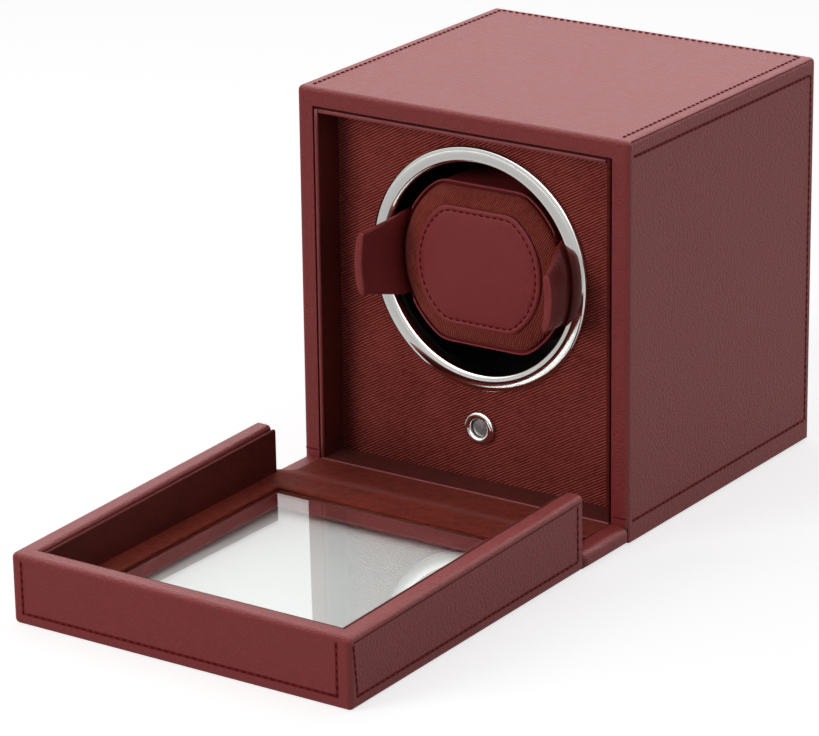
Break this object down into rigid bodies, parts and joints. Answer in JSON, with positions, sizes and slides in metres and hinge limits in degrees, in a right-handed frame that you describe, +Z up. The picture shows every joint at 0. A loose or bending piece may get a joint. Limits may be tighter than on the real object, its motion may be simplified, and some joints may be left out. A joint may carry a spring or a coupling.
{
  "type": "watch winder",
  "caption": "Leather-covered watch winder: a box with a motor-driven drum behind a chrome ring, a removable watch cuff, a push button and a hinged glazed lid that folds down in front",
  "frame": {"origin": "centre of the underside of the base and apron, on the surface the winder stands on", "axes": "+Z up, +Y towards the back of the box, -Y towards the open lid, +X to the right of someone facing the open front"},
  "size_m": [0.146, 0.3156, 0.1556],
  "materials": {
    "cover_leather": "burgundy pebble-grain leather, satin",
    "cuff_leather": "smooth burgundy leather, satin",
    "twill": "red-brown twill with fine diagonal ribs",
    "lining": "dark red-brown brushed lining",
    "board": "raw fibreboard",
    "felt": "dark felt",
    "chrome": "mirror chrome",
    "clear_plastic": "smoky clear moulding",
    "black_plastic": "black moulding",
    "white_plastic": "natural acetal",
    "brass": "turned brass",
    "circuit_board": "green circuit board",
    "motor_steel": "plated steel can",
    "steel": "zinc-plated steel",
    "magnet": "nickel-plated magnet",
    "glass": "clear flat glass"
  },
  "bodies": {
    "case": {"case_cover": "cover_leather", "base_cover": "cover_leather", "panel_fabric": "twill", "recess_liner_left": "lining", "recess_liner_right": "lining", "recess_liner_top": "lining", "recess_liner_floor": "lining", "apron_lining": "lining", "case_carcass": "board", "base_board": "board", "front_panel": "board", "base_felt": "felt", "drum_ring": "chrome", "button_bezel": "chrome", "drive_housing": "black_plastic", "gear_plate": "black_plastic", "board_posts": "white_plastic", "power_inlet": "black_plastic", "inlet_nut": "black_plastic", "button_switch": "black_plastic", "shaft_bushes": "brass", "control_board": "circuit_board", "gearmotor": "motor_steel", "housing_screws": "steel", "plate_screws": "steel", "motor_screws": "steel", "gear_pillars": "steel", "idler_axle": "steel", "hinge_pins": "steel", "case_magnets": "magnet"},
    "lid": {"lid_cover": "cover_leather", "lid_board": "board", "lid_floor_lining": "lining", "lid_glass": "glass", "lid_liner_left": "lining", "lid_liner_right": "lining", "lid_liner_front": "lining", "lid_magnets": "magnet", "lid_hinge_arms": "steel"},
    "drum": {"drum_cup": "black_plastic", "drum_shaft": "steel", "hub_screw": "steel", "drum_gear": "white_plastic"},
    "idler": {"idler_gear": "white_plastic"},
    "pinion": {"motor_pinion": "brass", "motor_shaft": "steel"},
    "cuff": {"cuff_core": "cuff_leather", "cuff_face": "twill", "cuff_pad": "cuff_leather", "wing_pins": "steel"},
    "wing_left": {"wing_left": "cuff_leather"},
    "wing_right": {"wing_right": "cuff_leather"},
    "button": {"push_button": "clear_plastic"}
  },
  "joints": [
    {"name": "lid_hinge", "type": "hinge", "parent": "case", "child": "lid", "pos_m": [0, -0.08045, 0.00435], "axis": [-1, 0, 0], "range_deg": [0, 91.52]},
    {"name": "drum_spin", "type": "hinge", "parent": "case", "child": "drum", "pos_m": [0, 0, 0.092], "axis": [0, 1, 0], "continuous": true},
    {"name": "idler_spin", "type": "hinge", "parent": "case", "child": "idler", "pos_m": [0, 0.015, 0.0595], "axis": [0, 1, 0], "continuous": true},
    {"name": "pinion_spin", "type": "hinge", "parent": "case", "child": "pinion", "pos_m": [0, 0.015, 0.04325], "axis": [0, 1, 0], "continuous": true},
    {"name": "cuff_slide", "type": "slide", "parent": "drum", "child": "cuff", "axis": [0, -1, 0], "range_m": [0, 0.012]},
    {"name": "wing_right_squeeze", "type": "hinge", "parent": "cuff", "child": "wing_right", "pos_m": [0.0343, -0.0155, 0.092], "axis": [0, 0, -1], "range_deg": [0, 2.4], "stiffness_Nm_per_rad": 0.5},
    {"name": "wing_left_squeeze", "type": "hinge", "parent": "cuff", "child": "wing_left", "pos_m": [-0.0343, -0.0155, 0.092], "axis": [0, 0, 1], "range_deg": [0, 2.4], "stiffness_Nm_per_rad": 0.5},
    {"name": "button_press", "type": "slide", "parent": "case", "child": "button", "axis": [0, 1, 0], "range_m": [0, 0.0008], "stiffness_N_per_m": 800}
  ],
  "couplings": [
    {"joint": "idler_spin", "follows": "drum_spin", "ratio": -2.25},
    {"joint": "pinion_spin", "follows": "drum_spin", "ratio": 3.6}
  ]
}
